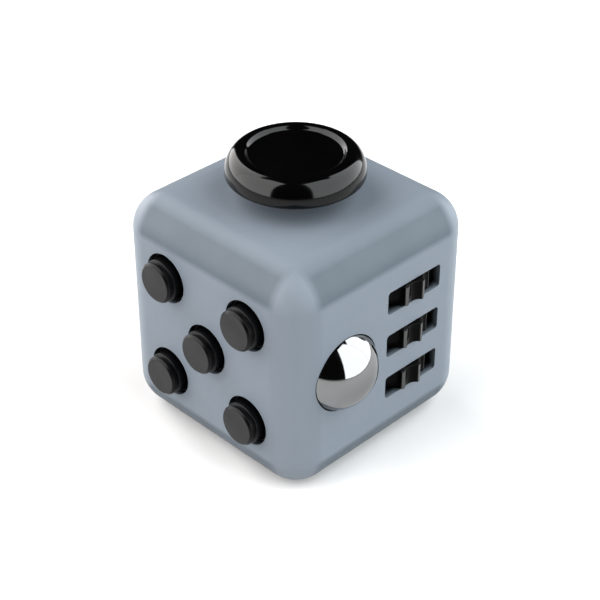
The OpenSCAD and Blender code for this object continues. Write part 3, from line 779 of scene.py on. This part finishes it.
def make_rocker():
    """Rocker whose two halves meet in a shallow valley, with round edges and a hidden hub."""
    tilt = math.radians(ROCKER_TILT)
    valley = (PIVOT_DEPTH + 0.2) / math.cos(tilt)
    tip = Vector((ROCKER_HALF * math.cos(tilt), valley + ROCKER_HALF * math.sin(tilt)))
    heel = tip - ROCKER_END * Vector((-math.sin(tilt), math.cos(tilt)))
    side = [(0, valley), tuple(tip), tuple(heel), *ROCKER_HUB]
    outline = [Vector(p) for p in side] + [Vector((-x, y)) for x, y in side[-2:0:-1]]
    bm = prism(outline, -ROCKER_W / 2, ROCKER_W / 2)
    soften(bm, 0.3, 4, 30, lambda e: all(v.co.y > 0.8 for v in e.verts))
    # the outline's x runs up the face and its y outwards, and the prism's width runs across it
    stand = Matrix(((0, 0, 1, 0), (1, 0, 0, 0), (0, 1, 0, 0), (0, 0, 0, 1)))
    tilted = Matrix.Rotation(-tilt, 4, "X")
    place = face_frame("flip", (0, 0, -PIVOT_DEPTH)) @ tilted @ stand
    obj = add_object("rocker_paddle", bm, place)
    return finish_piece(obj, "rocker_plastic", "rocker", "rocker")


# ---------------------------------------------------------------- spin face

NUB_R = 1.6
NUB_AT = 5.7
NUB_PROUD = 1.7
DIAL_RIM = 1.4
DIAL_CHAMFER = 0.4
DIAL_FACE_DROP = 0.15
DIAL_SHAFT_R = 2.0
DIAL_GAP = 0.2


def make_dial():
    """Dial with a raised rim, a shallow face and a round nub."""
    low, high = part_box("dial")
    radius = (high.z - low.z) / 2 / MM
    back, front = node_span("spin", "dial")
    disc_top = front - NUB_PROUD
    disc_back = DIAL_GAP - DIAL_RECESS_DEPTH
    face = disc_top - DIAL_FACE_DROP
    rim_r = radius - DIAL_RIM
    disc = rounded([
        (0, face, 0), (rim_r - DIAL_CHAMFER, face, 0.4), (rim_r, disc_top, 0.4),
        (radius - DIAL_CHAMFER, disc_top, 0.3), (radius, disc_top - DIAL_CHAMFER, 0.3),
        (radius, disc_back, 0.1), (DIAL_SHAFT_R, disc_back, 0.05), (DIAL_SHAFT_R, back, 0.1),
        (0, back, 0)], 6)
    obj = lathe("dial_disc", disc, face_frame("spin"), 144)
    stud = rounded([
        (0, 0, 0), (NUB_R, 0, 0), (NUB_R, disc_top - 0.12, 0), (NUB_R, front, 0.5), (0, front, 0)], 8)
    nub = lathe("dial_nub", stud, face_frame("spin", (NUB_AT, 0, 0)), 64)
    finish_piece(nub, "dial_plastic", "dial", "dial")
    return finish_piece(obj, "dial_plastic", "dial", "dial")


# ---------------------------------------------------------------- the object

make_shell()
make_base_cover()
for button in BUTTONS:
    make_button(button)
make_button_guide()
make_ball()
for gear in GEARS:
    make_gear(gear)
make_joystick_cap()
make_rocker()
make_dial()


def dress_cad_nodes():
    """Gives every carried-over CAD node its slot's material and crisp edges."""
    slots = {part["node"]: part["material_slot"] for part in frame["record"]["subparts"]}
    for name, obj in frame["nodes"].items():
        obj.data.materials.clear()
        obj.data.materials.append(MATERIALS[slots[name]])
        crisp = obj.modifiers.new("crisp_edges", "EDGE_SPLIT")
        crisp.split_angle = math.radians(30)


dress_cad_nodes()

# ---------------------------------------------------------------- studio

CAMERA_AZIMUTH = 45.12
CAMERA_ELEVATION = 34.58
CAMERA_DISTANCE = 217.0 * MM
# what the camera aims at, right of the object's middle and above it
CAMERA_AIM = (0.556 * MM, -0.280 * MM)
CAMERA_LENS = 96.6
FLOOR_SIZE = 8.0
# the floor is pale round the object and dark beyond, for the black reflections in the ball and joystick
FLOOR_PALE_TO = 0.16
FLOOR_DARK_FROM = 0.45
COOL = (0.97, 1.0, 1.01)
WARM = (1.02, 1.0, 0.99)


def direction(azimuth, elevation):
    """Unit vector from the object: azimuth 0 is -Y and 90 is +X, in degrees."""
    a, e = math.radians(azimuth), math.radians(elevation)
    return Vector((math.sin(a) * math.cos(e), -math.cos(a) * math.cos(e), math.sin(e)))


def make_camera():
    """Camera on the near upright edge, looking down at the object."""
    back = direction(CAMERA_AZIMUTH, CAMERA_ELEVATION)
    right = Vector((-back.y, back.x, 0)).normalized()
    up = back.cross(right)
    aim = MID + right * CAMERA_AIM[0] + up * CAMERA_AIM[1]
    camera = bpy.data.objects.new("camera", bpy.data.cameras.new("camera"))
    camera.data.sensor_width = 36
    camera.data.lens = CAMERA_LENS
    camera.data.clip_start = 0.01
    camera.location = aim + back * CAMERA_DISTANCE
    camera.rotation_euler = (-back).to_track_quat("-Z", "Y").to_euler()
    SCENE.collection.objects.link(camera)
    SCENE.camera = camera


def softbox(name, facing, start, end, top, radiance, colour, distance=0.5):
    """Rectangular light that stands on the floor: angles as the object sees it, in degrees."""
    left, right = (distance * math.tan(math.radians(a - facing)) for a in (start, end))
    width, height = right - left, distance * math.tan(math.radians(top))
    light = bpy.data.lights.new(name, "AREA")
    light.shape = "RECTANGLE"
    light.size = width
    light.size_y = height
    light.energy = radiance * math.pi * width * height
    light.color = colour
    obj = bpy.data.objects.new(name, light)
    way = direction(facing, 0)
    across = Vector((-way.y, way.x, 0))
    obj.location = Vector((MID.x, MID.y, height / 2)) + way * distance + across * (left + right) / 2
    obj.rotation_euler = way.to_track_quat("Z", "Y").to_euler()
    SCENE.collection.objects.link(obj)


def make_floor():
    """Matt floor under the object."""
    bm = bmesh.new()
    bmesh.ops.create_grid(bm, x_segments=1, y_segments=1, size=FLOOR_SIZE / 2)
    bmesh.ops.translate(bm, vec=(0, 0, CAD_BOX[0][2]), verts=bm.verts)
    floor = add_object("floor", bm, smooth=False)
    n = Nodes("floor")
    away = n.add("ShaderNodeVectorMath", operation="LENGTH")
    n.link(n.place, away.inputs[0])
    far = n.spread(away.outputs["Value"], 0.0, 1.0, FLOOR_PALE_TO, FLOOR_DARK_FROM)
    tone = n.blend(n.spread(n.noise(3, 2), 0, 1), (0.50, 0.50, 0.50), (0.51, 0.51, 0.51))
    floor.data.materials.append(n.set(Base_Color=n.blend(far, tone, (0.08, 0.08, 0.08)), Roughness=0.9))


def make_world():
    """Almost black surroundings, so that only the lights and the floor show in reflections."""
    world = bpy.data.worlds.new("studio")
    world.use_nodes = True
    background = world.node_tree.nodes["Background"]
    background.inputs["Color"].default_value = (1, 1, 1, 1)
    background.inputs["Strength"].default_value = 0.01
    SCENE.world = world


make_camera()
make_floor()
make_world()
softbox("softbox_right", 102, 72, 145, 75, 5.4, COOL)
softbox("softbox_right_back", 165, 145, 182, 62, 5.4, COOL)
softbox("softbox_left", -20, -60, 7, 75, 6.2, WARM)
softbox("softbox_left_back", -85, -110, -60, 62, 5.4, WARM)
SCENE.view_settings.view_transform = "Standard"
